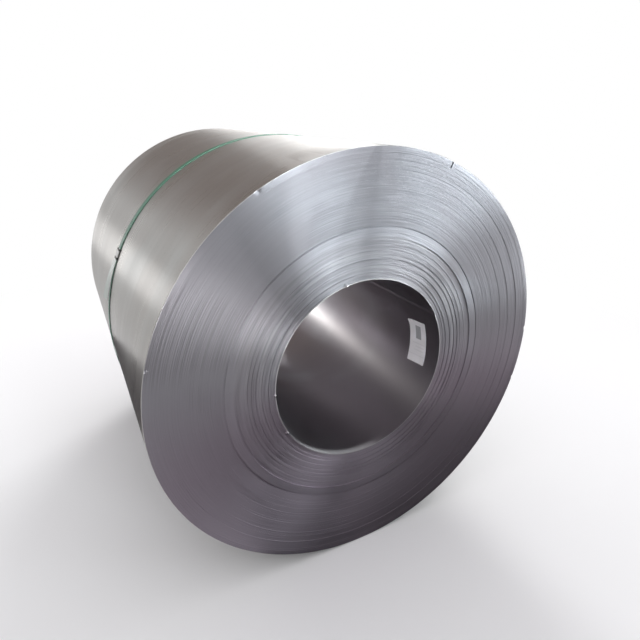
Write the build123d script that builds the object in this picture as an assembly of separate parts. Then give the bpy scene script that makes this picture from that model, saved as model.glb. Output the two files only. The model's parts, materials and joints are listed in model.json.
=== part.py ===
"""Coil of cold-rolled steel strip, lying on its side, with one strap, its seal and a paper label.

Millimetres. +Y is the coil's axis, from the near end to the far end, and +Z is up.
The origin is on the floor, under the middle of the coil's length.
"""

from build123d import *
import math
import os

# Strip and coil
strip_width = 1250.0
strip_thickness = 1.5
coil_diameter = 1140.0
bore_diameter = 508.0

# Rim: the outermost turns, which lie flush
rim_width = 14.0

# Outer packs of turns, dished from the rim down to the channel
outer_pack_count = 6
outer_dish = 21.0
outer_pack_step = 0.6

# Channel of turns that sank in, and the ridge of turns beside it
channel_diameter = 776.0
channel_width = 4.0
channel_depth = 4.0
ridge_width = 23.0
ridge_height = 2.0

# Inner packs of turns, down to the bore, and the first turns, which stand out as a lip
inner_pack_count = 5
inner_dish = 5.0
inner_pack_step = 1.8
lip_width = 4.0
lip_height = 2.5

# Ends of the strip, as angles round the axis from +X towards +Z
inner_end_angle = 27.4
outer_end_angle = 68.0
run_out_angle = 36.0

# Strap round the barrel
strap_width = 32.0
strap_thickness = 1.27
strap_from_near_end = 591.0
free_end_length = 125.0
free_end_radius = 900.0

# Seal that clamps the overlapping strap
seal_length = 32.0
seal_angle = 154.1
seal_thickness = 0.9
seal_side_gap = 0.5
notch_length = 5.0
notch_depth = 1.0
notch_spacing = 13.0

# Label stuck to the bore, its top leaning a little towards the far end
label_width = 76.0
label_length = 134.0
label_thickness = 0.3
label_from_near_end = 81.0
label_angle = -1.9
label_tilt = 6.0

# Gap left under a piece that is pressed or stuck on a round face
seat_gap = 0.2
cut_margin = 20.0

coil_radius = coil_diameter / 2
bore_radius = bore_diameter / 2
channel_radius = channel_diameter / 2
strap_inner_radius = coil_radius + seat_gap
strap_outer_radius = strap_inner_radius + strap_thickness
overlap_outer_radius = strap_outer_radius + strap_thickness


def polar(radius, angle, centre=(0.0, 0.0)):
    """Point at a radius and an angle in degrees, in the plane across the axis."""
    turn = math.radians(angle)
    return (centre[0] + radius * math.cos(turn), centre[1] + radius * math.sin(turn))


def arc_angle(length, radius):
    """Angle in degrees that an arc of this length takes up."""
    return math.degrees(length / radius)


def inner_packs():
    """Packs of turns from the bore to the channel, as (outer radius, shift inside, shift outside).

    A shift is how far a pack lies from the rim's turns, towards the far end.
    """
    lip_shift = outer_dish + inner_dish - lip_height
    ridge_shift = outer_dish - ridge_height
    channel_shift = outer_dish + channel_depth
    first_radius = bore_radius + lip_width
    last_radius = channel_radius - channel_width - ridge_width
    pack_width = (last_radius - first_radius) / inner_pack_count
    packs = [(first_radius, lip_shift, lip_shift)]
    for number in range(inner_pack_count):
        dish = inner_dish * (1 - number / inner_pack_count)
        shift = outer_dish + dish + inner_pack_step * (number % 2)
        packs.append((first_radius + pack_width * (number + 1), shift, shift))
    packs.append((channel_radius - channel_width, ridge_shift, ridge_shift))
    packs.append((channel_radius, channel_shift, channel_shift))
    return packs


def outer_packs():
    """Packs of turns from the channel to the rim, in the same form as inner_packs."""
    last_radius = coil_radius - rim_width
    pack_width = (last_radius - channel_radius) / outer_pack_count
    packs = []
    for number in range(outer_pack_count):
        inside = outer_dish * (1 - number / outer_pack_count)
        outside = outer_dish * (1 - (number + 1) / outer_pack_count) + outer_pack_step
        packs.append((channel_radius + pack_width * (number + 1), inside, outside))
    packs.append((coil_radius, 0.0, 0.0))
    return packs


packs = inner_packs() + outer_packs()
largest_shift = max(max(inside, outside) for radius, inside, outside in packs)
near_end = -(strip_width + largest_shift) / 2


def end_profile(start):
    """Outline of one end as (radius, axial place) points, from the bore outwards."""
    points = []
    inner_radius = bore_radius
    for outer_radius, inside, outside in packs:
        points.append((inner_radius, start + inside))
        points.append((outer_radius, start + outside))
        inner_radius = outer_radius
    return points


def end_wedge(edge_radius, step_radius, step_angle, last_angle, clear_radius):
    """Cutter for the shallow wedge beside an end of the strip.

    It is one strip thickness deep at the cut edge and runs out to nothing where the next turn
    has closed on the round again. The cutter opens towards clear_radius.
    """
    middle_angle = (step_angle + last_angle) / 2
    middle_radius = (edge_radius + step_radius) / 2
    with BuildSketch(Plane.XZ) as section:
        with BuildLine():
            floor = ThreePointArc(
                polar(step_radius, step_angle),
                polar(middle_radius, middle_angle),
                polar(edge_radius, last_angle),
            )
            side = Line(floor @ 1, polar(clear_radius, last_angle))
            back = ThreePointArc(
                side @ 1,
                polar(clear_radius, middle_angle),
                polar(clear_radius, step_angle),
            )
            Line(back @ 1, floor @ 0)
        make_face()
    return extrude(section.sketch, strip_width / 2 + largest_shift + cut_margin, both=True)


def wound_strip():
    """The coil itself: one turned solid, with both ends of its strip cut square across."""
    outline = end_profile(near_end) + end_profile(near_end + strip_width)[::-1]
    with BuildSketch(Plane.XY) as section:
        with BuildLine():
            Polyline(*outline, close=True)
        make_face()
    turned = revolve(section.sketch, axis=Axis.Y)
    inner_wedge = end_wedge(
        bore_radius,
        bore_radius + strip_thickness,
        inner_end_angle,
        inner_end_angle + run_out_angle,
        bore_radius - cut_margin,
    )
    outer_wedge = end_wedge(
        coil_radius,
        coil_radius - strip_thickness,
        outer_end_angle,
        outer_end_angle - run_out_angle,
        coil_radius + cut_margin,
    )
    return turned - inner_wedge - outer_wedge


def band(inner_radius, outer_radius, width, start_angle, turn):
    """Band that follows the round for a turn in degrees, centred on Y = 0."""
    with BuildSketch(Plane.XY) as section:
        with Locations(((inner_radius + outer_radius) / 2, 0)):
            Rectangle(outer_radius - inner_radius, width)
    swept = revolve(section.sketch, axis=Axis.Y, revolution_arc=turn)
    return swept.rotate(Axis.Y, -start_angle - turn)


def free_end():
    """Upper layer of the strap, through the seal and on to the springy free end."""
    half_seal = arc_angle(seal_length / 2 + strap_thickness, strap_outer_radius)
    first = seal_angle - half_seal
    last = seal_angle + half_seal
    spring = arc_angle(free_end_length, free_end_radius)
    spring_centre = polar(strap_outer_radius - free_end_radius, last)
    faces = (
        (strap_outer_radius, free_end_radius),
        (overlap_outer_radius, free_end_radius + strap_thickness),
    )
    with BuildSketch(Plane.XZ) as section:
        with BuildLine():
            ends = []
            for seat_radius, spring_radius in faces:
                seat = ThreePointArc(
                    polar(seat_radius, first),
                    polar(seat_radius, seal_angle),
                    polar(seat_radius, last),
                )
                tail = ThreePointArc(
                    seat @ 1,
                    polar(spring_radius, last + spring / 2, spring_centre),
                    polar(spring_radius, last + spring, spring_centre),
                )
                ends.append((seat @ 0, tail @ 1))
            Line(ends[0][0], ends[1][0])
            Line(ends[0][1], ends[1][1])
        make_face()
    return extrude(section.sketch, strap_width / 2, both=True)


def strap():
    """Band round the barrel, with the overlap that the seal holds."""
    loop = band(strap_inner_radius, strap_outer_radius, strap_width, 0, 360)
    return loop + free_end()


def strap_seal():
    """Notched metal seal folded over the edges of both strap layers."""
    opening = strap_width + 2 * seal_side_gap
    roof_radius = overlap_outer_radius + seat_gap
    turn = arc_angle(seal_length, roof_radius)
    first = seal_angle - turn / 2
    block = band(
        strap_inner_radius,
        roof_radius + seal_thickness,
        opening + 2 * seal_thickness,
        first,
        turn,
    )
    hollow = band(strap_inner_radius - 1, roof_radius, opening, first - 1, turn + 2)
    seal = block - hollow
    notch_turn = arc_angle(notch_length, roof_radius)
    for place in (-notch_spacing / 2, notch_spacing / 2):
        middle = seal_angle + arc_angle(place, roof_radius)
        notch = band(
            strap_inner_radius - 1,
            strap_inner_radius + notch_depth,
            opening + 4 * seal_thickness,
            middle - notch_turn / 2,
            notch_turn,
        )
        seal -= notch
    return seal


def label():
    """Paper label that lies on the wall of the bore, cut out of a thin round shell."""
    outer_radius = bore_radius - seat_gap
    shell = band(
        outer_radius - label_thickness,
        outer_radius,
        label_width + label_length,
        -arc_angle(label_length, outer_radius),
        2 * arc_angle(label_length, outer_radius),
    )
    outline = Pos(outer_radius, 0, 0) * Rot(-label_tilt, 0, 0) * Box(
        outer_radius, label_width, label_length
    )
    return (shell & outline).rotate(Axis.Y, -label_angle)


floor_to_axis = strap_outer_radius
strap_place = near_end + strap_from_near_end
label_place = near_end + label_from_near_end + label_width / 2

pieces = {
    "coil": Pos(0, 0, floor_to_axis) * wound_strip(),
    "strap": Pos(0, strap_place, floor_to_axis) * strap(),
    "strap_seal": Pos(0, strap_place, floor_to_axis) * strap_seal(),
    "label": Pos(0, label_place, floor_to_axis) * label(),
}

os.makedirs("parts", exist_ok=True)
for name, piece in pieces.items():
    export_step(piece, f"parts/{name}.step")
    box = piece.bounding_box()
    print(name, "volume", round(piece.volume), "low", box.min, "high", box.max)
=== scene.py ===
# %% [markdown]
# # A coil of cold-rolled steel strip
# The real thing is one strip of steel, 1.25 m wide and 1.5 mm thick, wound some two hundred
# times round a mandrel. One green strap holds it, closed by a crimped metal seal, and a paper
# label sticks in its bore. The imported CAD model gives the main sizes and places. Here each
# piece gets the surface of the real one. It could be done with textures on the CAD solids, but
# the edges of the turns show in the outline and catch the light, so the pieces are built again
# as fine surfaces in the same places.

# %% Load the frame
import json
import math

import bpy
import numpy as np
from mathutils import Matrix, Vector


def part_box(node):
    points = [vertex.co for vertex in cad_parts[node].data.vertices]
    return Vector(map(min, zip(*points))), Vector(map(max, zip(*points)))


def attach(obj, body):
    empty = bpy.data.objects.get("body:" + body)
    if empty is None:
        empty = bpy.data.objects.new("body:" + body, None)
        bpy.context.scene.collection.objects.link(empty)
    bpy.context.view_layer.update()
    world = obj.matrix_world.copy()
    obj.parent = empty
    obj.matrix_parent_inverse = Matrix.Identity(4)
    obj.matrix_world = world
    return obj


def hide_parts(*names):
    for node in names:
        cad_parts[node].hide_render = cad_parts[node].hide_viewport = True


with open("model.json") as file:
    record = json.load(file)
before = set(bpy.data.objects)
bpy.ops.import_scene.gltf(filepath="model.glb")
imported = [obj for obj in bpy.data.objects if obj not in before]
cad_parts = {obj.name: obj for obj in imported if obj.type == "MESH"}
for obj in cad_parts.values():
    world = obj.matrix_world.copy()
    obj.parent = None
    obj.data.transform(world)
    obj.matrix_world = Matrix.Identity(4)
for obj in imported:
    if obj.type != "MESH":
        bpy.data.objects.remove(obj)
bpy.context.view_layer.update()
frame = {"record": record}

# %% [markdown]
# ## Sizes from the frame
# The coil's box gives its radius, the height of its axis and where its near end is. The bore
# mount gives the bore and the width of the strip. The other boxes say where the strap, the
# seal and the label sit. These numbers could be typed in, but read they always fit the CAD.

# %% Sizes
MM = 0.001
coil_low, coil_high = (np.array(corner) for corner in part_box("coil"))
rim_radius = (coil_high[0] - coil_low[0]) / 2
axis_height = (coil_high[2] + coil_low[2]) / 2
near_rim = coil_low[1]
bore = next(m for m in frame["record"]["mounts"] if m["name"] == "bore")["dims"]
bore_radius = bore["r_mm"] * MM
strip_width = bore["length_mm"] * MM
strip_thickness = 1.5 * MM


def middle_of(node):
    """Middle of a node's box, and its angle round the coil's axis from +X towards +Z."""
    low, high = (np.array(corner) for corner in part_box(node))
    middle = (low + high) / 2
    return middle, math.atan2(middle[2] - axis_height, middle[0])


strap_middle, _ = middle_of("strap")
seal_middle, seal_angle = middle_of("strap_seal")
label_middle, label_angle = middle_of("label")
print("rim", rim_radius, "bore", bore_radius, "axis height", axis_height)
print("seal at", math.degrees(seal_angle), "label at", math.degrees(label_angle))

# %% [markdown]
# ## One builder for every piece
# Each piece is a grid of points with rows and columns: the coil closes both ways like a ring,
# the strap is a tube along a circle, and the seal and the label are sheets with two faces.
# Modifiers could thicken and bend planes. With one function that turns any grid into a mesh,
# the code of a piece is only its shape.

# %% Points round the axis
def around(radius, angle, along):
    """Points at a radius, an angle round the coil's axis from +X towards +Z, and a place in Y."""
    x = radius * np.cos(angle)
    z = axis_height + radius * np.sin(angle)
    return np.stack(np.broadcast_arrays(x, along, z), axis=-1)


def signed_volume(points, quads):
    """Sum over the triangles of a sixth of corner dot (corner cross corner)."""
    a, b, c, d = (points[quads[:, corner]] for corner in range(4))
    return float(np.sum(a * (np.cross(b, c) + np.cross(c, d)))) / 6


# %% Grid to mesh
crease_angle = math.radians(28)


def grid_object(name, points, rings=False, tube=False, capped=False, rows_finish=None, uv=None):
    """Mesh from a grid of points of shape (rows, columns, 3), with one quad for each cell.

    rings joins the last column to the first and tube the last row to the first. capped closes
    the two ends of a tube: row i is joined to the row that is i from the last. rows_finish
    gives each row of cells a material number, and uv the U of each column and V of each row.
    A closed mesh whose volume comes out negative has its quads turned round.
    """
    rows, columns = points.shape[:2]
    row, column = np.meshgrid(
        np.arange(rows if tube else rows - 1),
        np.arange(columns if rings else columns - 1),
        indexing="ij",
    )
    corner_rows = np.stack([row, row, row + 1, row + 1], axis=-1).reshape(-1, 4)
    corner_columns = np.stack([column, column + 1, column + 1, column], axis=-1).reshape(-1, 4)
    if capped:
        step = np.arange(rows // 2 - 1)
        side = np.stack([step, step + 1, rows - 2 - step, rows - 1 - step], axis=-1)
        for cap, place in ((side, 0), (side[:, ::-1], columns - 1)):
            corner_rows = np.concatenate([corner_rows, cap])
            corner_columns = np.concatenate([corner_columns, np.full_like(cap, place)])
    quads = corner_rows % rows * columns + corner_columns % columns
    flat_points = points.reshape(-1, 3)
    if tube and (rings or capped) and signed_volume(flat_points, quads) < 0:
        quads, corner_rows = quads[:, ::-1], corner_rows[:, ::-1]
        corner_columns = corner_columns[:, ::-1]
    mesh = bpy.data.meshes.new(name)
    mesh.vertices.add(len(flat_points))
    mesh.vertices.foreach_set("co", flat_points.astype(np.float32).ravel())
    mesh.loops.add(quads.size)
    mesh.loops.foreach_set("vertex_index", quads.astype(np.int32).ravel())
    mesh.polygons.add(len(quads))
    mesh.polygons.foreach_set("loop_start", np.arange(0, quads.size, 4, dtype=np.int32))
    mesh.polygons.foreach_set("use_smooth", np.ones(len(quads), dtype=bool))
    if rows_finish is not None:
        numbers = np.repeat(np.asarray(rows_finish, dtype=np.int32), row.shape[1])
        mesh.polygons.foreach_set("material_index", numbers)
    if uv is not None:
        across, along = uv
        places = np.stack([across[corner_columns], along[corner_rows]], axis=-1)
        layer = mesh.uv_layers.new(name="surface")
        layer.data.foreach_set("uv", places.astype(np.float32).ravel())
    mesh.update(calc_edges=True)
    mesh.set_sharp_from_angle(angle=crease_angle)
    thing = bpy.data.objects.new(name, mesh)
    bpy.context.scene.collection.objects.link(thing)
    print(name, "has", len(quads), "quads")
    return thing


# %% [markdown]
# ## The ends of the coil
# On a real coil an end is the edge of one strip, turn on turn. The turns slide a little while
# they are wound. So the rim lies flush, the packs inside it dish away, a narrow channel of
# turns sank in with a flat ridge beside it, and between the ridge and the bore the turns are
# loose: some lie deep and show as dark lines, others stand out and shine. The first turns make
# a lip round the bore. A bump texture would show none of this in the outline, so the end is a
# real surface, cut into groups of a few turns that step in and out.

# %% Sizes of one end
rim_width = 14 * MM
rim_cuts = (rim_width, 9 * MM, 4.5 * MM, 0.8 * MM)
outer_dish = 21 * MM
outer_pack_count = 6
outer_pack_step = 0.6 * MM
groups_per_pack = 5
channel_radius = 388 * MM
channel_width = 4 * MM
channel_depth = 4 * MM
sunk_width = 2.6 * MM
ridge_width = 23 * MM
ridge_height = 2 * MM
inner_dish = 5 * MM
lip_width = 4 * MM
lip_height = 2.5 * MM
# How far the groups of each kind stand in or out.
lip_relief, loose_relief, flat_relief, pack_relief = 0.15 * MM, 0.28 * MM, 0.1 * MM, 0.2 * MM
# Each loose group: radius of its outer edge, and how much deeper it lies.
loose_turns_mm = (
    (262, 0.0), (268, 0.5), (272, -0.3), (277, 1.9), (283, -0.4), (290, 0.3), (292, 1.7),
    (298, -0.3), (305, 0.4), (307.5, 1.9), (312, -0.2), (317, 0.5), (319, 1.6), (327, -0.3),
    (329, 1.4), (336, 0.2), (342, 0.7), (349, 0.0), (355, 0.6), (361, 1.1),
)
print(len(loose_turns_mm), "loose groups lie between the lip and the ridge")


# %% Groups of turns
def end_groups(random):
    """Groups of turns from the bore to the rim: radii of both edges, their shifts and relief.

    A shift is how far a turn lies from the rim's turns, towards the far end of the coil. It
    falls along a straight line over the loose turns and over each outer pack. The packs are
    cut into groups of about 5.6 mm with unequal widths.
    """
    lip_end = bore_radius + lip_width
    ridge_start = channel_radius - channel_width - ridge_width
    groups = []

    def add(inner, outer, inside, outside, relief):
        groups.append((inner, outer, inside, outside, relief))

    lip_shift = outer_dish + inner_dish - lip_height
    add(bore_radius, lip_end, lip_shift, lip_shift, lip_relief)
    inner = lip_end
    for edge, sunk in loose_turns_mm:
        outer = min(edge * MM, ridge_start)
        share = (ridge_start - np.array([inner, outer])) / (ridge_start - lip_end)
        inside, outside = outer_dish + inner_dish * share + sunk * MM
        add(inner, outer, inside, outside, loose_relief)
        inner = outer
    ridge_shift = outer_dish - ridge_height
    ridge_edges = np.linspace(ridge_start, ridge_start + ridge_width, 5)
    for inner, outer in zip(ridge_edges[:-1], ridge_edges[1:]):
        add(inner, outer, ridge_shift, ridge_shift, flat_relief)
    sunk_edge = channel_radius - sunk_width
    add(channel_radius - channel_width, sunk_edge, outer_dish, outer_dish, flat_relief)
    deep = outer_dish + channel_depth
    add(sunk_edge, channel_radius, deep, deep, flat_relief)
    pack_edges = np.linspace(channel_radius, rim_radius - rim_width, outer_pack_count + 1)
    for number in range(outer_pack_count):
        inside = outer_dish * (1 - number / outer_pack_count)
        outside = outer_dish * (1 - (number + 1) / outer_pack_count) + outer_pack_step
        cuts = np.linspace(0, 1, groups_per_pack + 1)
        cuts[1:-1] += random.uniform(-0.06, 0.06, groups_per_pack - 1)
        radii = pack_edges[number] + cuts * (pack_edges[number + 1] - pack_edges[number])
        shifts = inside + cuts * (outside - inside)
        for k in range(groups_per_pack):
            add(radii[k], radii[k + 1], shifts[k], shifts[k + 1], pack_relief)
    rim_edges = rim_radius - np.array(rim_cuts)
    for inner, outer in zip(rim_edges[:-1], rim_edges[1:]):
        add(inner, outer, 0.0, 0.0, flat_relief)
    print("one end has", len(groups), "groups of turns")
    return np.array(groups)


# %% [markdown]
# ## The strip's own ends, and the nicks
# The strip begins in the bore and stops on the barrel, each time with a square cut. There the
# turn beside the cut closes on the round again over a short stretch. A boolean would cut such
# steps too, but it leaves long thin faces. Here two columns of the grid lie a hair apart at
# each cut, and the step is a difference of radius between them. Handling left a few nicks on
# the rim and on the lip of the bore, which get extra columns and are pushed in.

# %% Columns, steps and nicks
inner_end = math.radians(27.4)
outer_end = math.radians(68.0)
run_out = math.radians(36.0)
column_count = 318
hair = math.radians(0.02)
notch_turn = math.radians(0.45)
notch_depth = 3 * MM
# Each nick: radius (mm), angle (degrees), half size (mm), how deep it is pushed in (mm).
nicks = (
    (570, 120.1, 5.0, 2.2), (570, 103.3, 4.0, 1.6), (567, 164.4, 4.5, 2.0),
    (570, 2.0, 6.0, 2.4), (570, -15.0, 5.0, 2.2), (255, 180.7, 3.5, -2.4),
    (256, 208.7, 4.0, -2.6), (256, 103.7, 4.5, -2.8), (255, 222.0, 3.0, -1.6),
)


def step_depth(angle, step_angle, direction):
    """Depth of the step beside a strip end: one thickness at the cut, nothing after run_out.

    It falls as a straight ramp of the angle from the cut, measured in the given direction.
    """
    away = (direction * (angle - step_angle)) % (2 * math.pi)
    return strip_thickness * np.clip(1 - away / run_out, 0, 1)


def strip_columns():
    """Angles of the grid's columns: an even spread, the strip's ends, and more at each nick."""
    columns = list(np.linspace(0, 2 * math.pi, column_count, endpoint=False))
    columns += [inner_end - hair, inner_end, outer_end, outer_end + hair]
    columns += [outer_end - notch_turn, outer_end - notch_turn + hair]
    for radius, angle, size, _ in nicks:
        half = math.degrees(size / radius)
        columns += [math.radians((angle + half * k) % 360) for k in (-1.3, -0.6, 0, 0.6, 1.3)]
    return np.unique(np.round(columns, 7))


def nick_depth(radius, angle):
    """Sum over the nicks of depth times a bell of the distance from the nick's middle."""
    depth = np.zeros(np.broadcast(radius, angle).shape)
    for nick_radius, nick_angle, size, push in nicks:
        across = radius - nick_radius * MM
        turn = (angle - math.radians(nick_angle) + math.pi) % (2 * math.pi) - math.pi
        away = (across**2 + (turn * nick_radius * MM) ** 2) / (size * MM) ** 2
        depth += push * MM * np.exp(-1.6 * away)
    return depth


# %% [markdown]
# ## The whole strip
# The coil is a ring that closes on itself both ways: up the near end, along the barrel, down
# the far end and back through the bore, swept round the axis. It could be four surfaces joined
# at their rims. One grid makes it with no seam and no pole. How far each group of turns stands
# in or out changes slowly round the coil, which is why the lines on a real end come and go.

# %% Slow waves of the groups
def set_out(groups, columns, random):
    """How far each group stands in or out round the coil.

    It is the group's relief times 0.6 of a level of its own plus 0.5 of a slow wave, which is
    a cosine of the angle plus 0.6 of a cosine that is twice as fast.
    """
    level = random.normal(0, 1, (len(groups), 1))
    phase = random.uniform(0, 2 * math.pi, (len(groups), 2))
    wave = np.cos(columns - phase[:, :1]) + 0.6 * np.cos(2 * columns - phase[:, 1:])
    return groups[:, 4:] * (0.6 * level + 0.5 * wave)


# %% Build the strip
barrel_rows = 18
bore_rows = 10
flatness = 0.45 * MM
channel_open = math.radians(25)
channel_closed_share = 0.75
EDGES, SHEET, BORE_WALL = 0, 1, 2


def wound_strip():
    """Grid of the coil: rows follow the closed outline, columns go round the axis.

    An end's point is its group's shift, plus how far the group is set out, plus the nicks. The
    channel is deepest at channel_open and closes as a power of a cosine of the angle from
    there. The barrel adds long shallow waves, since a sheet is never quite flat. The bore wall
    and the barrel add the step at the strip's end, and the near rim a notch beside it.
    """
    random = np.random.default_rng(11)
    columns = strip_columns()
    groups = end_groups(random)
    radii = groups[:, :2].ravel()
    shifts = groups[:, 2:4].ravel()[:, None]
    member = np.repeat(np.arange(len(groups)), 2)
    end_radii = np.broadcast_to(radii[:, None], (len(radii), len(columns)))

    near_along = near_rim + (shifts + set_out(groups, columns, random)[member])
    near_along = near_along + nick_depth(end_radii, columns)
    sunk = groups[member, 1, None] == channel_radius
    open_share = (0.5 + 0.5 * np.cos(columns - channel_open)) ** 1.5
    near_along = near_along - channel_closed_share * channel_depth * sunk * (1 - open_share)
    notch = (columns > outer_end - notch_turn + hair / 2) & (columns < outer_end + hair / 2)
    near_along = near_along + notch_depth * notch * (end_radii > rim_radius - rim_width - MM)
    far_along = near_rim + strip_width + (shifts + set_out(groups, columns, random)[member])

    share = np.linspace(0, 1, barrel_rows + 2)[1:-1, None]
    barrel_start, barrel_end = near_rim + MM, near_rim + strip_width - MM
    barrel_along = barrel_start + share * (barrel_end - barrel_start) + 0 * columns
    barrel_along[0] = barrel_start + nick_depth(rim_radius, columns)
    barrel_along[-1] = barrel_end
    waves = np.sin(3 * columns + 5 * share) + 0.5 * np.sin(7 * columns - 4 * share)
    barrel_radii = rim_radius - flatness * (1.5 - waves) * np.sin(math.pi * share) ** 0.5

    share = np.linspace(1, 0, bore_rows + 2)[1:-1, None]
    bore_along = near_along[0] + share * (far_along[0] - near_along[0])
    bore_radii = np.full(bore_along.shape, bore_radius)

    radius = np.concatenate([end_radii, barrel_radii, end_radii[::-1], bore_radii])
    along = np.concatenate([near_along, barrel_along, far_along[::-1], bore_along])
    at_bore = radius < bore_radius + 0.1 * MM
    at_barrel = radius > rim_radius - 2.5 * MM
    radius = radius + at_bore * step_depth(columns, inner_end, 1)
    radius = radius - at_barrel * step_depth(columns, outer_end, -1)
    finishes = [EDGES] * (len(radii) - 1) + [SHEET] * (barrel_rows + 1)
    finishes += [EDGES] * (len(radii) - 1) + [BORE_WALL] * (bore_rows + 1)
    return around(radius, columns, along), finishes


strip_points, strip_finishes = wound_strip()
coil_strip = grid_object(
    "coil_strip", strip_points, rings=True, tube=True, rows_finish=strip_finishes
)

# %% [markdown]
# ## The strap
# A packing strap is a plastic band with a fine diamond relief pressed into it. It goes once
# round the coil, and its end passes through the seal over the first layer and springs off the
# coil a little. A curve with a bevel could carry the band, but would turn it where it likes.
# So the loop is a closed tube and the free end a capped one, both worked out from the band's
# real outline with its rounded edges.

# %% Band and loop
strap_width = 32 * MM
strap_thickness = 1.27 * MM
strap_corner = 0.3 * MM
seat_gap = 0.2 * MM
strap_wander = 2.5 * MM
loop_radius = rim_radius + seat_gap
loop_columns = 300


def band_section():
    """Outline of the band across its width: place across it, and height above its seat.

    Both faces are flat, and a quarter circle joins each to the upright sides.
    """
    turn = np.linspace(0, math.pi / 2, 5)
    reach = strap_width / 2 - strap_corner
    edge = np.stack([reach + strap_corner * np.cos(turn), strap_corner * np.sin(turn)], axis=-1)
    edge[:, 1] += strap_thickness - strap_corner
    face = np.linspace(1, -1, 7)[1:-1, None] * np.array([[reach, 0]])
    face[:, 1] = strap_thickness
    upper = np.concatenate([edge, face, edge[::-1] * (-1, 1)])
    return np.concatenate([upper, upper[::-1] * (1, -1) + (0, strap_thickness)])


def strap_loop():
    """Loop grid: the band's outline carried round the coil.

    The band leaves the seal's place by half of one minus a cosine of the angle from the seal,
    times strap_wander, as a strap tightened by hand.
    """
    section = band_section()
    angle = np.linspace(0, 2 * math.pi, loop_columns, endpoint=False)
    wander = strap_wander * (1 - np.cos(angle - seal_angle)) / 2
    radius = loop_radius + section[:, 1:] + 0 * angle
    along = strap_middle[1] + section[:, :1] + wander
    lengths = np.linspace(0, 2 * math.pi * loop_radius, loop_columns + 1)
    return around(radius, angle, along), (lengths, np.append(section[:, 0], section[0, 0]))


loop_points, loop_uv = strap_loop()
strap_loop_piece = grid_object("strap_loop", loop_points, rings=True, tube=True, uv=loop_uv)

# %% Free end
free_end_length = 125 * MM
free_end_radius = 900 * MM
free_end_twist = math.radians(14)
seat_columns, spring_columns = 8, 25
seal_length = 32 * MM


def strap_free_end():
    """Upper layer grid: flat on the loop under the seal, then off along a wider circle.

    Past the seal the band follows a circle of free_end_radius that touches the loop at the
    seal's edge, and turns about its own length along a quarter of a sine wave.
    """
    section = band_section()
    seat = loop_radius + strap_thickness
    half = (seal_length / 2 + strap_thickness) / seat
    on_seat = np.linspace(seal_angle - half, seal_angle + half, seat_columns)
    spring = np.linspace(0, free_end_length / free_end_radius, spring_columns + 1)[1:]
    way_out = np.concatenate([np.zeros(seat_columns), spring / spring[-1]])
    twist = free_end_twist * np.sin(math.pi / 2 * way_out)
    across = section[:, :1] * np.cos(twist) - section[:, 1:] * np.sin(twist)
    height = section[:, :1] * np.sin(twist) + section[:, 1:] * np.cos(twist)
    lift = strap_width / 2 * np.sin(twist)
    direction = np.concatenate([on_seat, seal_angle + half + spring])
    wide = way_out > 0
    radius = np.where(wide, free_end_radius, seat)
    shift = np.where(wide, seat - free_end_radius, 0.0)
    points = around(radius + height + lift, direction, strap_middle[1] + across)
    points[..., 0] += shift * math.cos(seal_angle + half)
    points[..., 2] += shift * math.sin(seal_angle + half)
    lengths = np.concatenate([on_seat - on_seat[0], 2 * half + spring]) * seat
    return points, (lengths, np.append(section[:, 0], section[0, 0]))


free_points, free_uv = strap_free_end()
free_end_piece = grid_object("strap_free_end", free_points, tube=True, capped=True, uv=free_uv)

# %% [markdown]
# ## The seal
# The seal is a short sleeve of sheet metal folded over both layers of the strap. A hand tool
# bites it in two places along each side, which pulls its edges in and rounds its roof. It
# could be a box with bevels and booleans. As one sheet with two faces it keeps its thickness:
# its cross-section is bent like a bracket, and the bites narrow it where the tool closed.

# %% Build the seal
seal_thickness = 0.9 * MM
seal_side_gap = 0.5 * MM
seal_bend = 1.6 * MM
bite_spacing = 13 * MM
bite_length = 5 * MM
bite_depth = 1.1 * MM
bite_inwards, bite_down = 0.4, 0.5


def seal_section(offset):
    """Bracket outline across the strap, from one lower edge over the roof to the other.

    The sides stand upright, a quarter circle joins each to the roof, and offset moves the
    outline outwards by the thickness of the sheet.
    """
    half = strap_width / 2 + seal_side_gap + offset
    roof = 2 * strap_thickness + seat_gap + offset
    bend = seal_bend + offset
    turn = np.linspace(0, math.pi / 2, 7)
    place = half - bend + bend * np.cos(turn)
    height = roof - bend + bend * np.sin(turn)
    side = np.concatenate([[[half, 0.0]], np.stack([place, height], axis=-1)])
    roof_line = np.linspace(1, -1, 13)[1:-1, None] * np.array([[half - bend, 0]])
    roof_line[:, 1] = roof
    return np.concatenate([side, roof_line, side[::-1] * (-1, 1)])


def strap_seal():
    """Seal grid: the bracket's outer face and then its inner face, along the strap.

    A bite is a bell of the distance along the strap. It narrows the sides and lowers the roof
    near them by shares of its depth, and both fade as the eighth power of the way across.
    """
    stations = np.linspace(-seal_length / 2, seal_length / 2, 41)
    bells = sum(
        np.exp(-(((stations - place) / (bite_length / 2)) ** 4))
        for place in (-bite_spacing / 2, bite_spacing / 2)
    )
    faces = []
    for offset in (seal_thickness, 0.0):
        section = seal_section(offset)
        place, height = section[:, :1], section[:, 1:]
        edge = (np.abs(place) / (strap_width / 2)) ** 8
        across = place - np.sign(place) * bite_inwards * bite_depth * edge * bells
        lowered = bite_depth * bite_down * np.clip(edge, 0, 1) * bells * (height > MM)
        angle = seal_angle + stations / loop_radius
        faces.append(around(loop_radius + (height - lowered), angle, seal_middle[1] + across))
    rows = len(faces[0])
    points = np.concatenate([faces[0], faces[1][::-1]])
    rows_uv = np.concatenate([np.linspace(-1, 1, rows), np.linspace(1, -1, rows), [-1]])
    return points, (stations / (seal_length / 2), rows_uv)


seal_points, seal_uv = strap_seal()
seal_piece = grid_object("seal_clip", seal_points, tube=True, capped=True, uv=seal_uv)

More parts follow.
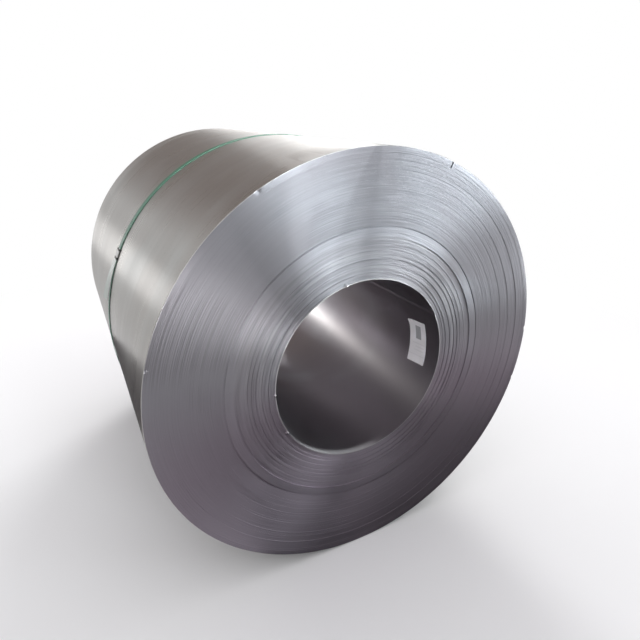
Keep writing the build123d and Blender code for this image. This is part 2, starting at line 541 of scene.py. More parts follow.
# %% [markdown]
# ## The label
# The label is a slip of paper stuck to the wall of the bore, a little askew, with a corner that
# has come loose. A plane could be wrapped on the wall with a modifier. It is worked out as a
# thin sheet with two faces instead, because its tilt and its corners are then plain numbers.

# %% Build the label
label_width = 76 * MM
label_length = 134 * MM
label_thickness = 0.3 * MM
label_tilt = math.radians(6)
corner_lift = 5 * MM
label_columns, label_lines = 25, 41


def bore_label():
    """Label grid: both faces of the paper, bent round the wall of the bore.

    Width runs along the axis and length round the wall, turned by the tilt. A loose corner
    lifts as the fourth power of the way to it, and the opposite one half as much.
    """
    sideways, upwards = np.linspace(-1, 1, label_columns), np.linspace(-1, 1, label_lines)
    across, up = np.meshgrid(sideways, upwards)
    along = across * label_width / 2
    round_way = up * label_length / 2
    turned_along = along * math.cos(label_tilt) + round_way * math.sin(label_tilt)
    turned_round = round_way * math.cos(label_tilt) - along * math.sin(label_tilt)
    loose = (np.clip(across, 0, 1) * np.clip(up, 0, 1)) ** 4
    loose += 0.5 * (np.clip(-across, 0, 1) * np.clip(-up, 0, 1)) ** 4
    wall = bore_radius - seat_gap - corner_lift * loose
    angle = label_angle + turned_round / bore_radius
    place = label_middle[1] + turned_along
    faces = [around(wall - depth, angle, place) for depth in (label_thickness, 0)]
    return np.concatenate([faces[0], faces[1][::-1]])


face_rows = np.linspace(0, 1, label_lines)
label_uv = (np.linspace(0, 1, label_columns), np.concatenate([face_rows, face_rows[::-1], [0]]))
label_piece = grid_object("bore_label", bore_label(), tube=True, capped=True, uv=label_uv)

# %% [markdown]
# ## Helpers for shader nodes
# Every finish below is a small graph of nodes. It could be drawn by hand in the node editor.
# These helpers add one node, set or link its inputs, and give back its output, so that a
# finish reads as a short list of steps.

# %% Helpers: nodes and arithmetic
def fill_inputs(tree, made, inputs):
    """Each input of a node, by name or number, is set to a value or linked to a socket."""
    for key, value in dict(inputs).items():
        if isinstance(value, bpy.types.NodeSocket):
            tree.links.new(value, made.inputs[key])
        else:
            made.inputs[key].default_value = value


def put(tree, kind, settings=(), inputs=()):
    """Node of a kind with its settings and inputs."""
    made = tree.nodes.new("ShaderNode" + kind)
    for key, value in dict(settings).items():
        setattr(made, key, value)
    fill_inputs(tree, made, inputs)
    return made


def reckon(tree, operation, first, second=0.0, third=0.0):
    """Result of one step of arithmetic on values or sockets."""
    return put(tree, "Math", {"operation": operation}, {0: first, 1: second, 2: third}).outputs[0]


def chain(tree, operation, first, *others):
    """One operation applied to the first value and each of the others in turn."""
    for other in others:
        first = reckon(tree, operation, first, other)
    return first


def times(tree, *factors):
    """Product of values or sockets."""
    return chain(tree, "MULTIPLY", *factors)


def largest(tree, *values):
    """Largest of values or sockets."""
    return chain(tree, "MAXIMUM", *values)


def added(tree, start, value, share):
    """Start plus a share of a value."""
    return reckon(tree, "MULTIPLY_ADD", value, share, start)


# %% Helpers: masks and colours
def ramp(tree, value, start, end, low=0.0, high=1.0):
    """Value mapped smoothly from start..end to low..high, and held beyond them."""
    inputs = {"Value": value, "From Min": start, "From Max": end, "To Min": low, "To Max": high}
    return put(tree, "MapRange", {"interpolation_type": "SMOOTHSTEP"}, inputs).outputs[0]


def mixed(tree, share, first, second):
    """Colour between two colours or sockets."""
    inputs = {0: share}
    for key, colour in ((6, first), (7, second)):
        inputs[key] = colour if isinstance(colour, bpy.types.NodeSocket) else (*colour, 1)
    return put(tree, "Mix", {"data_type": "RGBA"}, inputs).outputs[2]


def noise_of(tree, vector, scale, detail=2.0, roughness=0.5, distortion=0.0):
    """Random value that changes smoothly over a vector, around a half."""
    inputs = {"Vector": vector, "Scale": scale, "Detail": detail, "Roughness": roughness}
    return put(tree, "TexNoise", (), {**inputs, "Distortion": distortion}).outputs[0]


def tinted(tree, colour, mask, amount, other):
    """Colour with another one mixed in, by an amount times a mask."""
    return mixed(tree, times(tree, mask, amount), colour, other)


def object_place(tree):
    """Object coordinates, which are the same in every view."""
    return put(tree, "TexCoord").outputs["Object"]


def vector_step(tree, operation, inputs, output=0):
    """Result of one step of arithmetic on vectors."""
    return put(tree, "VectorMath", {"operation": operation}, inputs).outputs[output]


def xyz_of(tree, vector):
    """The three parts of a vector."""
    return put(tree, "SeparateXYZ", (), {0: vector}).outputs[:3]


# %% Helpers: groups and finishes
def new_group(name, inputs, outputs):
    """Empty node group, its inputs (names with values) and its outputs (names with kinds)."""
    group = bpy.data.node_groups.new(name, "ShaderNodeTree")
    new_socket = group.interface.new_socket
    for label, value in inputs.items():
        kind = "NodeSocketVector" if isinstance(value, tuple) else "NodeSocketFloat"
        new_socket(label, in_out="INPUT", socket_type=kind).default_value = value
    for label, kind in outputs.items():
        new_socket(label, in_out="OUTPUT", socket_type="NodeSocket" + kind)
    print("node group", name, "gives", ", ".join(outputs))
    start, end = (group.nodes.new("NodeGroup" + kind) for kind in ("Input", "Output"))
    return group, start.outputs, end.inputs


def use_group(tree, group, inputs=()):
    """Outputs of a node group placed in a tree."""
    made = tree.nodes.new("ShaderNodeGroup")
    made.node_tree = group
    fill_inputs(tree, made, inputs)
    return made.outputs


def new_finish(name, constants):
    """Material with one Principled shader, whose constants are set on its own sockets."""
    material = bpy.data.materials.new(name)
    material.use_nodes = True
    shader = material.node_tree.nodes["Principled BSDF"]
    for key, value in constants.items():
        shader.inputs[key].default_value = value
    return material, material.node_tree, shader.inputs


def connect(tree, sockets, values):
    """Named sockets of a shader, or of a group's end, linked to their values."""
    for key, value in values.items():
        tree.links.new(value, sockets[key])


def add_bump(tree, shader, height, strength, distance):
    """Bump from a height, which changes only the shader's normal."""
    bump = put(tree, "Bump", (), {"Strength": strength, "Distance": distance, "Height": height})
    connect(tree, shader, {"Normal": bump.outputs[0]})


def dress(thing, node, *finishes):
    """The piece stands for a CAD node, rides with the coil and gets its finishes."""
    for finish in finishes:
        thing.data.materials.append(finish)
    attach(thing, "root")
    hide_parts(node)
    print(thing.name, "stands for", node, "in", ", ".join(finish.name for finish in finishes))


# %% [markdown]
# ## Where a point is on the coil
# All the marks on the steel follow the winding: they run round the coil. So every steel finish
# needs three things of a point: how far it is from the axis, how far along the axis, and the
# direction from the axis. A UV map could hold them, but it needs a seam. The group works them
# out of the object coordinates and has none.

# %% Group: place on the coil
place_on_coil, group_in, group_out = new_group(
    "place on coil",
    {"Axis Height": axis_height},
    {"Radius": "Float", "Along": "Float", "Direction": "Vector"},
)
sideways, along, upright = xyz_of(place_on_coil, object_place(place_on_coil))
height = reckon(place_on_coil, "SUBTRACT", upright, group_in["Axis Height"])
spoke = put(place_on_coil, "CombineXYZ", (), {0: sideways, 2: height}).outputs[0]
length = vector_step(place_on_coil, "LENGTH", {0: spoke}, "Value")
direction = vector_step(place_on_coil, "NORMALIZE", {0: spoke})
connect(place_on_coil, group_out, {"Radius": length, "Along": along, "Direction": direction})

# %% [markdown]
# ## Grain that runs round the coil
# Rolling leaves fine lines along the strip, and slitting leaves the edges of the turns with
# lines of their own. Both run round the coil and fade in and out. Rings from a wave texture
# would never fade, so the group stretches a noise instead: it changes fast across the lines
# and slowly round the coil.

# %% Group: drawn grain
drawn_grain, group_in, group_out = new_group(
    "drawn grain",
    {
        "Across": 0.0, "Direction": (1.0, 0.0, 0.0),
        "Lines Per Metre": 100.0, "Breaks": 1.0, "Contrast": 0.2,
    },
    {"Grain": "Float"},
)
fast = times(drawn_grain, group_in["Across"], group_in["Lines Per Metre"])
stretch = {0: group_in["Direction"], "Scale": group_in["Breaks"]}
slow_x, _, slow_z = xyz_of(drawn_grain, vector_step(drawn_grain, "SCALE", stretch))
stretched = put(drawn_grain, "CombineXYZ", (), {0: slow_x, 1: fast, 2: slow_z}).outputs[0]
noise = noise_of(drawn_grain, stretched, 1.0, 3.0, 0.6)
low = reckon(drawn_grain, "SUBTRACT", 0.5, group_in["Contrast"])
high = reckon(drawn_grain, "ADD", 0.5, group_in["Contrast"])
connect(drawn_grain, group_out, {"Grain": ramp(drawn_grain, noise, low, high)})

# %% [markdown]
# ## Oil film and stains
# Strip is oiled against rust, and the film gathers in clouds, with small flecks of dirt in it.
# It could be painted as a mask. The group takes it from a distorted noise, so that it has no
# edge and each steel can have its own size and cover.

# %% Group: oil clouds
film_edge = 0.22
flecks_per_metre = 140.0
oil_clouds, group_in, group_out = new_group(
    "oil clouds",
    {"Size": 0.3, "Cover": 0.5},
    {"Film": "Float", "Fleck": "Float"},
)
coordinates = object_place(oil_clouds)
inverse = reckon(oil_clouds, "DIVIDE", 1.0, group_in["Size"])
cloud = noise_of(oil_clouds, coordinates, inverse, 3.0, 0.5, 0.6)
start = reckon(oil_clouds, "SUBTRACT", 0.75, group_in["Cover"])
end = reckon(oil_clouds, "ADD", start, film_edge)
film = ramp(oil_clouds, cloud, start, end)
flecks = noise_of(oil_clouds, coordinates, flecks_per_metre)
connect(oil_clouds, group_out, {"Film": film, "Fleck": ramp(oil_clouds, flecks, 0.62, 0.72)})

# %% [markdown]
# ## Leaning windows
# Duller bands lean across the end. They are painted reflections: dark bands in the colour that
# stay in place in every view. A straight gradient couldn't lean. The group gives one band as a
# window of angles with soft edges, whose middle and width change steadily from the bore to the
# rim. The combed sectors use the same window.

# %% Group: leaning window
leaning_window, group_in, group_out = new_group(
    "leaning window",
    {
        "Radius": 0.4, "Direction": (1.0, 0.0, 0.0),
        "Angle At Bore": 90.0, "Angle At Rim": 90.0, "Width At Bore": 10.0, "Width At Rim": 10.0,
    },
    {"Sector Mask": "Float"},
)
sideways, _, upright = xyz_of(leaning_window, group_in["Direction"])
angle = reckon(leaning_window, "DEGREES", reckon(leaning_window, "ARCTAN2", upright, sideways))
out = put(
    leaning_window, "MapRange", (),
    {"Value": group_in["Radius"], "From Min": bore_radius, "From Max": rim_radius},
).outputs[0]


def from_bore_to_rim(label):
    """Value that goes straight from the input's value at the bore to the one at the rim."""
    at_bore, at_rim = group_in[label + " At Bore"], group_in[label + " At Rim"]
    inputs = {"Value": out, "To Min": at_bore, "To Max": at_rim}
    return put(leaning_window, "MapRange", (), inputs).outputs[0]


off = reckon(leaning_window, "SUBTRACT", angle, from_bore_to_rim("Angle"))
off = reckon(leaning_window, "ABSOLUTE", off)
share_off = reckon(leaning_window, "DIVIDE", off, from_bore_to_rim("Width"))
connect(leaning_window, group_out, {"Sector Mask": ramp(leaning_window, share_off, 1.3, 0.6)})

# %% [markdown]
# ## Marks on the edges of the turns
# The near and far ends are the slit edge of the strip, turn beside turn. Coarse lines stand a
# centimetre apart and fine ones a couple of turns. The loose turns near the bore show more
# contrast. The rim and the lip are rubbed, and a painted highlight lightens them. In some
# sectors and patches the edges lie combed, in dark lines that start and stop together. An image
# could hold all this, but with a mask for each mark, each can be made stronger or weaker alone.

# %% Masks of the edges
loose_edge = (0.372, 0.352)
# The rim and the lip: rubbed wear, with a painted highlight on each.
rim_wear_and_highlight = (rim_radius - 2.2 * MM, rim_radius - 0.8 * MM)
lip_wear_and_highlight = (bore_radius + 2.6 * MM, bore_radius + 1.2 * MM)
# Each sector: how strong, and then in degrees its middle at the bore and at the rim, and its
# half width at the bore and at the rim.
combed_sectors = ((1.0, 151.0, 157.0, 10.0, 12.0), (0.6, 38.0, 38.0, 44.0, 44.0))
# Painted reflections: dark bands that lean across the end.
painted_reflection_bands = (
    (0.17, 99.0, 90.0, 12.0, 0.8), (0.2, 132.0, 121.0, 5.5, 8.5), (0.25, -57.0, -57.0, 30.0, 30.0),
)


def grain_of(tree, place, across, lines, breaks, contrast):
    """Mask of drawn grain whose lines lie beside each other along Radius or Along."""
    return use_group(tree, drawn_grain, {
        "Across": place[across], "Direction": place["Direction"],
        "Lines Per Metre": lines, "Breaks": breaks, "Contrast": contrast,
    })[0]


def sector(tree, place, window):
    """Mask of one sector, given its middles and half widths at the bore and at the rim."""
    labels = ("Angle At Bore", "Angle At Rim", "Width At Bore", "Width At Rim")
    inputs = dict(zip(labels, window), Radius=place["Radius"], Direction=place["Direction"])
    return use_group(tree, leaning_window, inputs)[0]


def edge_marks(tree, place):
    """Masks of the marks on the edges of the turns, by name."""
    comb = grain_of(tree, place, "Radius", 400, 0.7, 0.07)
    patches = use_group(tree, oil_clouds, {"Size": 0.15, "Cover": 0.27})["Film"]
    sectors = [times(tree, sector(tree, place, w), amount) for amount, *w in combed_sectors]
    rim, lip = (ramp(tree, place["Radius"], *edges) for edges in (rim_wear_and_highlight, lip_wear_and_highlight))
    return {
        "coarse": grain_of(tree, place, "Radius", 110, 1.6, 0.2),
        "fine": grain_of(tree, place, "Radius", 300, 3.0, 0.25),
        "film": use_group(tree, oil_clouds, {"Size": 0.34, "Cover": 0.42})["Film"],
        "combed": times(tree, comb, largest(tree, times(tree, patches, 0.6), *sectors)),
        "loose": ramp(tree, place["Radius"], *loose_edge),
        "wear_and_highlight": largest(tree, rim, lip),
    }


# %% [markdown]
# ## Finish of the edges
# The colour starts from the lines, which are calmer under oil. Then come the combed lines, the
# loose turns, the film, a painted shade that darkens the lower half to a purplish grey, the
# painted reflections of the leaning bands, a painted shade on the flush rim, and last the rubbed
# rim and lip with their painted highlight. Lines that all run round the coil spread a reflection
# away from the axis, so a lamp shows as a bright fan. Thousands of modelled grooves would do that
# too. Anisotropy does it in the shader, with the tangent round the Y axis.

# %% Finish: edges of the turns
def add_tangent(tree, shader):
    """Tangent that runs round the coil's axis."""
    tangent = put(tree, "Tangent", {"direction_type": "RADIAL", "axis": "Y"}).outputs[0]
    connect(tree, shader, {"Tangent": tangent})


def edge_colour(tree, place, marks):
    """Colour of the edges, from the lines up to the rubbed rim and lip with their painted
    highlight.
    """
    lines = added(tree, times(tree, marks["fine"], 0.7), marks["coarse"], 0.3)
    calm = added(tree, 1.15, marks["film"], -0.7)
    lines = added(tree, 0.5, reckon(tree, "SUBTRACT", lines, 0.5), calm)
    steel = mixed(tree, lines, (0.27, 0.27, 0.295), (0.352, 0.353, 0.38))
    steel = tinted(tree, steel, marks["combed"], 0.42, (0.16, 0.155, 0.17))
    contrast = mixed(tree, marks["coarse"], (0.16, 0.15, 0.16), (0.5, 0.49, 0.51))
    steel = tinted(tree, steel, marks["loose"], 0.3, contrast)
    steel = tinted(tree, steel, marks["film"], 0.3, (0.25, 0.22, 0.235))
    # Painted shade: the lower half of each end is tinted darker and purplish.
    low = ramp(tree, xyz_of(tree, place["Direction"])[2], 0.25, -0.35)
    steel = tinted(tree, steel, low, 0.8, (0.305, 0.255, 0.3))
    # Painted reflections: the leaning bands darken the colour.
    dim = 0.0
    for amount, *window in painted_reflection_bands:
        dim = added(tree, dim, sector(tree, place, window), amount)
    steel = mixed(tree, dim, steel, (0.1, 0.095, 0.1))
    # Painted shade: the flush rim is darkened a little, holding down its highlight.
    rim_start = rim_radius - rim_width
    flush = ramp(tree, place["Radius"], rim_start - 2 * MM, rim_start + 2 * MM)
    steel = tinted(tree, steel, flush, 0.08, (0.1, 0.1, 0.11))
    # Rubbed wear and painted highlight: the rim and the lip are lightened.
    return tinted(tree, steel, marks["wear_and_highlight"], 0.75, (0.62, 0.61, 0.61))


def turn_edges():
    """Finish of both ends: colour, roughness and bump from the same masks."""
    finish, tree, shader = new_finish(
        "turn_edges", {"Metallic": 1.0, "Anisotropic": 0.85, "Anisotropic Rotation": 0.25}
    )
    add_tangent(tree, shader)
    place = use_group(tree, place_on_coil)
    marks = edge_marks(tree, place)
    dull = added(tree, 0.37, marks["fine"], 0.08)
    dull = added(tree, dull, marks["film"], 0.05)
    dull = added(tree, dull, marks["wear_and_highlight"], -0.1)
    connect(tree, shader, {"Base Color": edge_colour(tree, place, marks), "Roughness": dull})
    relief = added(tree, marks["fine"], marks["coarse"], added(tree, 0.5, marks["loose"], 1.2))
    relief = added(tree, relief, marks["combed"], 2.0)
    add_bump(tree, shader, relief, 0.5, 0.3 * MM)
    return finish


# %% [markdown]
# ## Satin sheet of the barrel
# The barrel is the face of the strip: cold-rolled and satin, with a faint grain round the
# coil, wide dim bands, clouds of oil that brown it and small flecks. One grey metal would look
# like a machined bar. The scratches change the roughness a little and are the only bump.

# %% Finish: barrel
def satin_steel(name, clean, oiled):
    """Start of a sheet's finish: its nodes, its oil clouds and its colour under them."""
    finish, tree, shader = new_finish(
        name, {"Metallic": 1.0, "Anisotropic": 0.5, "Anisotropic Rotation": 0.25}
    )
    add_tangent(tree, shader)
    film = use_group(tree, oil_clouds, {"Size": 0.42, "Cover": 0.45})
    return finish, tree, shader, film, tinted(tree, clean, film["Film"], 0.7, oiled)


def barrel_sheet():
    """Finish of the barrel, with its bands, flecks and scratches."""
    finish, tree, shader, film, steel = satin_steel(
        "barrel_sheet", (0.43, 0.43, 0.42), (0.37, 0.345, 0.325)
    )
    place = use_group(tree, place_on_coil)
    bands = grain_of(tree, place, "Along", 14, 0.8, 0.25)
    scratches = grain_of(tree, place, "Along", 420, 3.0, 0.3)
    dimmed = put(tree, "HueSaturation", (), {"Color": steel, "Value": 0.86}).outputs[0]
    steel = tinted(tree, steel, bands, 0.6, dimmed)
    steel = tinted(tree, steel, film["Fleck"], 0.245, (0.2, 0.18, 0.17))
    dull = added(tree, 0.29, scratches, 0.042)
    dull = added(tree, dull, bands, 0.04)
    dull = added(tree, dull, film["Film"], -0.04)
    connect(tree, shader, {"Base Color": steel, "Roughness": dull})
    add_bump(tree, shader, scratches, 0.35, 0.06 * MM)
    return finish


# %% [markdown]
# ## Wall of the bore
# The wall of the bore is the same sheet, seen at a flat angle. It could share the barrel's
# finish, but there a roughness that changes from place to place breaks the highlight of a lamp
# into wavering lines. So it keeps one roughness and no bump. A pale crescent low at its mouth is
# a painted highlight, duller than the rest, and the wall is painted darker towards the far end,
# a painted shade that holds down a lamp's highlight there.

# %% Finish: bore
# The painted highlight at the mouth lies between these two places.
mouth_highlight_from, mouth_highlight_to = near_rim + 52 * MM, near_rim + 28 * MM
# Painted shade starts here and deepens towards the far end of the bore.
painted_shade_from = near_rim + 650 * MM


def bore_sheet():
    """Finish of the bore's wall, with a painted highlight at its mouth and painted shade on its
    far half.
    """
    finish, tree, shader, _, steel = satin_steel(
        "bore_sheet", (0.49, 0.485, 0.51), (0.385, 0.345, 0.375)
    )
    place = use_group(tree, place_on_coil)
    sideways, _, height = xyz_of(tree, place["Direction"])
    # Painted highlight: a pale crescent low at the mouth of the bore.
    mouth_highlight = times(
        tree,
        ramp(tree, place["Along"], mouth_highlight_from, mouth_highlight_to),
        ramp(tree, height, -0.45, -0.85),
        ramp(tree, sideways, 0.4, 0.0),
    )
    steel = tinted(tree, steel, mouth_highlight, 0.8, (0.75, 0.74, 0.75))
    # Painted shade: the wall darkens towards the far end, holding down a lamp's highlight there.
    deep = ramp(tree, place["Along"], painted_shade_from, near_rim + strip_width)
    steel = tinted(tree, steel, deep, 0.8, (0.06, 0.055, 0.055))
    dull = added(tree, 0.3, mouth_highlight, 0.25)
    connect(tree, shader, {"Base Color": steel, "Roughness": dull})
    return finish


dress(coil_strip, "coil", turn_edges(), barrel_sheet(), bore_sheet())

# %% [markdown]
# ## Plastic of the strap
# The strap is green plastic with a soft gloss. Its diamond relief is a product of two waves
# that cross, as a bump on the piece's own UV map, which is measured in metres along and across.
# Modelled diamonds would take many thousands of faces for a mark of a tenth of a millimetre.
# Dust lightens it in patches, its edges are painted paler as painted light on its shaded sides,
# and its free end is painted nearly white, a painted glare.

# %% Finish: strap
diamond_pitch = 1300.0  # radians of the two waves in a metre
painted_edge_width = 0.8 * MM


def uv_of(tree):
    """U and V of the piece's own map."""
    return xyz_of(tree, put(tree, "UVMap", {"uv_map": "surface"}).outputs[0])[:2]


def strap_plastic(name, dark, light, glint, painted_edge_light):
    """Finish of the band in four shades: under and in the dust, on the diamonds, and painted light
    at the edges.
    """
    finish, tree, shader = new_finish(name, {"Specular IOR Level": 0.3})
    along, across = uv_of(tree)
    ways = [reckon(tree, operation, along, across) for operation in ("ADD", "SUBTRACT")]
    waves = [reckon(tree, "SINE", times(tree, way, diamond_pitch)) for way in ways]
    diamonds = times(tree, *waves)
    dust = use_group(tree, oil_clouds, {"Size": 0.12, "Cover": 0.4})["Film"]
    plastic = mixed(tree, dust, dark, light)
    plastic = mixed(tree, ramp(tree, diamonds, 0.2, 0.9, 0.0, 0.35), plastic, glint)
    # Painted light: the band's edges are lightened, against the shade on its sides.
    off_middle = reckon(tree, "ABSOLUTE", across)
    side = ramp(tree, off_middle, strap_width / 2 - painted_edge_width, strap_width / 2)
    plastic = mixed(tree, side, plastic, painted_edge_light)
    connect(tree, shader, {"Base Color": plastic, "Roughness": added(tree, 0.25, dust, 0.12)})
    add_bump(tree, shader, diamonds, 0.5, 0.15 * MM)
    return finish


green_strap = strap_plastic(
    "strap_plastic",
    (0.032, 0.14, 0.08), (0.048, 0.165, 0.105), (0.09, 0.22, 0.16), (0.2, 0.45, 0.33),
)
# Painted glare: the free end is painted nearly white, standing for the glare on its gloss.
glare_painted_strap = strap_plastic(
    "strap_tail_painted_glare", (0.6, 0.66, 0.62), (0.7, 0.73, 0.7), (0.82, 0.84, 0.82), (0.85, 0.87, 0.85)
)
dress(strap_loop_piece, "strap", green_strap)
dress(free_end_piece, "strap", glare_painted_strap)

# %% [markdown]
# ## Metal of the seal
# The seal is coated steel. Its roof is pale, and its two ends and its lower edges are dark. A
# single metal would lose it against the strap. The piece's UV map runs from −1 to 1 both ways,
# so each dark part is a plain band of it.

# %% Finish: seal
def seal_metal():
    """Finish of the seal: pale, with dark ends and sides, and a little film over both."""
    finish, tree, shader = new_finish("seal_metal", {"Metallic": 0.6})
    along, across = (reckon(tree, "ABSOLUTE", way) for way in uv_of(tree))
    film = use_group(tree, oil_clouds, {"Size": 0.02, "Cover": 0.5})["Film"]
    ends, sides = ramp(tree, along, 0.45, 0.75), ramp(tree, across, 0.96, 1.0)
    dark = largest(tree, ends, sides, times(tree, film, 0.25))
    metal = mixed(tree, dark, (0.8, 0.8, 0.78), (0.03, 0.03, 0.028))
    connect(tree, shader, {"Base Color": metal, "Roughness": added(tree, 0.36, film, 0.15)})
    add_bump(tree, shader, film, 0.3, 0.3 * MM)
    return finish


dress(seal_piece, "strap_seal", seal_metal())

# %% [markdown]
# ## Paper of the label
# The paper is matt and a little soiled, with a bump of fibres. Its print could be an image or
# text, but nothing on the part may be readable, so it is only a grey block, three faint lines
# and a rule, each a box on the UV map.

# %% Finish: paper
fibres_per_metre = 900.0
print_edge = 0.012
# Each box of the print: how dark, left, right, low and high on the label.
print_boxes = (
    (1.0, 0.3, 0.62, 0.56, 0.88),
    (0.2, 0.12, 0.8, 0.44, 0.46), (0.2, 0.12, 0.62, 0.36, 0.38), (0.2, 0.12, 0.7, 0.28, 0.3),
    (0.3, 0.06, 0.94, 0.17, 0.18),
)


def box_mask(tree, u, v, left, right, low, high):
    """1 inside a box on the UV map and 0 outside it, with a soft edge."""
    sides = ((u, left, 1), (u, right, -1), (v, low, 1), (v, high, -1))
    soft = ((way, at - rise * print_edge, at + rise * print_edge) for way, at, rise in sides)
    return times(tree, *(ramp(tree, *side) for side in soft))


def label_paper():
    """Finish of the label: soiled paper, with the print laid over it."""
    finish, tree, shader = new_finish("label_paper", {"Roughness": 0.62})
    u, v = uv_of(tree)
    boxes = [times(tree, box_mask(tree, u, v, *sides), dark) for dark, *sides in print_boxes]
    soil = use_group(tree, oil_clouds, {"Size": 0.05, "Cover": 0.42})["Film"]
    paper = tinted(tree, (0.92, 0.9, 0.94), soil, 0.5, (0.8, 0.78, 0.8))
    printed = mixed(tree, largest(tree, *boxes), paper, (0.4, 0.4, 0.42))
    connect(tree, shader, {"Base Color": printed})
    add_bump(tree, shader, noise_of(tree, object_place(tree), fibres_per_metre), 0.3, 0.08 * MM)
    return finish


dress(label_piece, "label", label_paper())

# %% [markdown]
# ## Floor and backdrop
# The studio is one pale sweep: a floor that turns up into a wall all round, so no view shows a
# horizon. A plane and a white world would leave one. Near the coil the floor is pale paint and
# keeps the shadow. Farther out it goes over to plain white for the camera, and to four fifths
# of it in the steel's reflections. For the light that it bounces it is a darker grey, which
# keeps the shadow deep.

# %% Studio sweep
floor_spokes = 96
white_from, white_to = 1.5, 2.8


def studio_sweep():
    """Floor, curve and wall: a profile swept round the upright axis.

    The profile runs out flat, turns up along a quarter circle and ends as a wall.
    """
    flat, bend, wall_top, flat_rings = 4.5, 2.0, 4.2, 24
    turn = np.linspace(0, math.pi / 2, 13)[1:]
    floor_radii = np.linspace(0.001, flat, flat_rings)
    radius = np.concatenate([floor_radii, flat + bend * np.sin(turn), [flat + bend]])
    level = np.concatenate([np.zeros(flat_rings), bend - bend * np.cos(turn), [wall_top]])
    angle = np.linspace(0, 2 * math.pi, floor_spokes, endpoint=False)
    spokes = np.stack([np.cos(angle), np.sin(angle)], axis=-1)
    flat_points = radius[:, None, None] * spokes
    levels = np.broadcast_to(level[:, None, None], (len(level), floor_spokes, 1))
    return grid_object("studio_sweep", np.concatenate([flat_points, levels], axis=-1), rings=True)


def sweep_finish():
    """Paint near the coil and plain white farther out, for rays that show the sweep itself."""
    finish = bpy.data.materials.new("sweep_paint")
    finish.use_nodes = True
    tree = finish.node_tree
    tree.nodes.clear()
    path = put(tree, "LightPath").outputs
    rays = ("Is Camera Ray", "Is Glossy Ray", "Is Transmission Ray")
    seen = largest(tree, *(path[ray] for ray in rays))
    paint = put(tree, "BsdfDiffuse", (), {0: mixed(tree, seen, (0.3,) * 3, (0.88,) * 3)})
    strength = added(tree, 0.8, path["Is Camera Ray"], 0.2)
    white = put(tree, "Emission", (), {0: (1, 1, 1, 1), 1: strength})
    away = vector_step(tree, "DISTANCE", {0: object_place(tree), 1: (0, -0.2, 0)}, "Value")
    share = times(tree, seen, ramp(tree, away, white_from, white_to))
    both = put(tree, "MixShader", (), {0: share, 1: paint.outputs[0], 2: white.outputs[0]})
    put(tree, "OutputMaterial", (), {0: both.outputs[0]})
    return finish


sweep = studio_sweep()
sweep.data.materials.append(sweep_finish())

# %% [markdown]
# ## Lamps
# Bare steel looks like what stands round it, so it is lit with boxes. A single sun would show
# as one hard streak. The key is behind the coil and to the right, so the floor in front lies in
# the coil's shadow, and a weak box behind and to the left lights the far left of the barrel.
# Two boxes in front draw the bright fans on the upper part of the end, a strip at the left a
# thin fan, and a low box at the right lights the end there. Two small lamps are for the bore:
# one behind the coil draws the bright band along its wall, and one in front lights the label.
# Narrow beams keep most of this light off the floor.

# %% Lamps
def lamp(name, place, target, size, power, color=(1, 1, 1), spread=180):
    """Area lamp that faces a target, with its beam kept within the spread in degrees."""
    light = bpy.data.lights.new(name, "AREA")
    light.shape = "RECTANGLE"
    light.size, light.size_y = size
    light.energy = power
    light.color = color
    light.spread = math.radians(spread)
    thing = bpy.data.objects.new(name, light)
    bpy.context.scene.collection.objects.link(thing)
    way = Vector(target) - Vector(place)
    thing.rotation_mode = "QUATERNION"
    thing.rotation_quaternion = way.to_track_quat("-Z", "Y")
    thing.location = place
    thing.visible_camera = False
    print("lamp", name, "at", place, "with", power, "W")


cool, yellowish = (0.93, 1.01, 1.03), (1.0, 1.0, 0.93)
lamp("key", (2.3, 4.4, 3.8), (0, 0, 0.2), (2.2, 1.8), 150)
lamp("back_left_box", (-2.0, 4.0, 0.65), (-0.3, 0, 0.8), (0.6, 0.7), 0.35, spread=60)
lamp("bore_fill", (-1.3, -2.7, 1.05), (0.22, -0.45, 0.57), (0.3, 0.3), 0.15, spread=14)
lamp("bore_box", (-0.6, 2.2, 0.63), (0.21, -0.35, 0.43), (0.16, 0.16), 0.14, yellowish, 21)
lamp("front_right_box", (2.9, -2.8, 1.35), (0, -0.6, 0.95), (2.0, 1.2), 4.4, cool, 28)
lamp("front_box", (0.85, -3.3, 1.65), (0, -0.6, 0.98), (2.6, 0.8), 4.8, cool, 26)
lamp("front_left_strip", (-1.62, -3.0, 1.1), (-0.3, -0.6, 0.85), (0.22, 0.8), 0.8, spread=18)
lamp("right_low_box", (2.9, -1.1, 0.3), (0, -0.6, 0.6), (1.6, 0.5), 3.6, cool, 60)

# %% [markdown]
# ## Boards and surroundings
# Dark boards give steel its dark parts, which lamps alone can't. A nearly black one stands
# behind the camera, and a brown one rises behind the coil, for the dark band along the barrel.
# Two cards lie on the floor, in front and at the left, for the lower end and the lower barrel.
# They show only in reflections and stop no light. The world above is plain, and a little
# brighter than white.

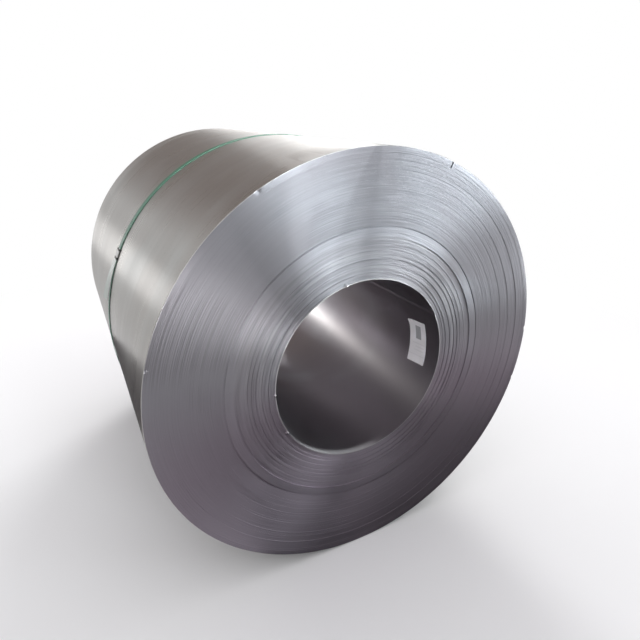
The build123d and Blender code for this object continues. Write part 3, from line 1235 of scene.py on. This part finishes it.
# %% Boards and world
def board(name, corners, color):
    """Board through a grid of corners, seen only in reflections, that stops no light."""
    thing = grid_object(name, np.array(corners, dtype=float))
    finish, tree, shader = new_finish(name + "_paint", {"Roughness": 0.9})
    shader["Base Color"].default_value = (*color, 1)
    thing.data.materials.append(finish)
    thing.visible_camera = False
    thing.visible_diffuse = False
    thing.visible_shadow = False


front = [[(-3.6, -3.6, 0.0), (4.6, -3.6, 0.0)], [(-3.6, -3.4, 2.8), (4.6, -3.4, 2.8)]]
board("front_board", front, (0.03, 0.028, 0.03))
back = [
    [(-1.2, 1.25), (0.4, 1.5), (1.15, 2.4), (3.8, 3.6)],
    [(-2.0, 5.2), (0.6, 5.2), (1.5, 5.2), (4.2, 5.2)],
]
board("back_board", [[(x, 3.6, z) for x, z in row] for row in back], (0.46, 0.4, 0.36))
cards = (("front_card", (-0.3, 1.35), (-0.64, -1.35)), ("side_card", (-1.6, -0.6), (0.1, 1.3)))
for name, across, deep in cards:
    board(name, [[(x, y, 0.004) for x in across] for y in deep], (0.05, 0.045, 0.05))
world = bpy.data.worlds.new("studio")
bpy.context.scene.world = world
world.use_nodes = True
world.node_tree.nodes["Background"].inputs[0].default_value = (1.17, 1.15, 1.18, 1)

# %% [markdown]
# ## Camera
# The camera stands where the photograph was taken: in front of the near end, to its left and
# above it. It could be placed by eye. Instead its place, direction and lens were found by
# fitting the rims of both ends, the bore and the strap to the picture.

# %% Camera
camera_lens = 27.69
camera_from_near_rim = Vector((-0.6369, -0.946, 0.6376))
camera_look = Vector((0.42474, 0.81672, -0.39059))
camera_data = bpy.data.cameras.new("camera")
camera_data.lens = camera_lens
camera_data.sensor_width = 36.0
camera = bpy.data.objects.new("camera", camera_data)
bpy.context.scene.collection.objects.link(camera)
camera.location = Vector((0, near_rim, axis_height)) + camera_from_near_rim
camera.rotation_mode = "QUATERNION"
camera.rotation_quaternion = camera_look.to_track_quat("-Z", "Y")
bpy.context.scene.camera = camera
print("camera at", [round(x, 3) for x in camera.location])

# %% [markdown]
# ## Colours
# The colours are shown as they are written.

# %% Colours
bpy.context.scene.view_settings.view_transform = "Standard"
